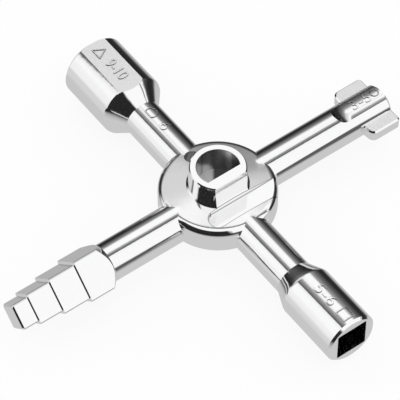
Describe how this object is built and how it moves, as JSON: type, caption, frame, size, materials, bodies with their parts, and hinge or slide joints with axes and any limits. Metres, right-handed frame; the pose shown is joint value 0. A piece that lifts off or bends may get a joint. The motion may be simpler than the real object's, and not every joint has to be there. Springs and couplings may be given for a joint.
{
  "type": "multi utility key",
  "caption": "Cross-shaped chrome-plated key with triangle, square and D sockets, a double-bit pin key and a stepped square bit.",
  "frame": {"origin": "on the hub axis, in the mid plane of the four arms", "axes": "+X along the double-bit arm, -X along the stepped square bit, +Y along the triangle socket, -Y along the square socket, +Z out of the D socket"},
  "size_m": [0.0836, 0.0794, 0.0156],
  "materials": {
    "plating": "bright plated"
  },
  "bodies": {
    "root": {"cross_key": "plating"}
  },
  "joints": []
}
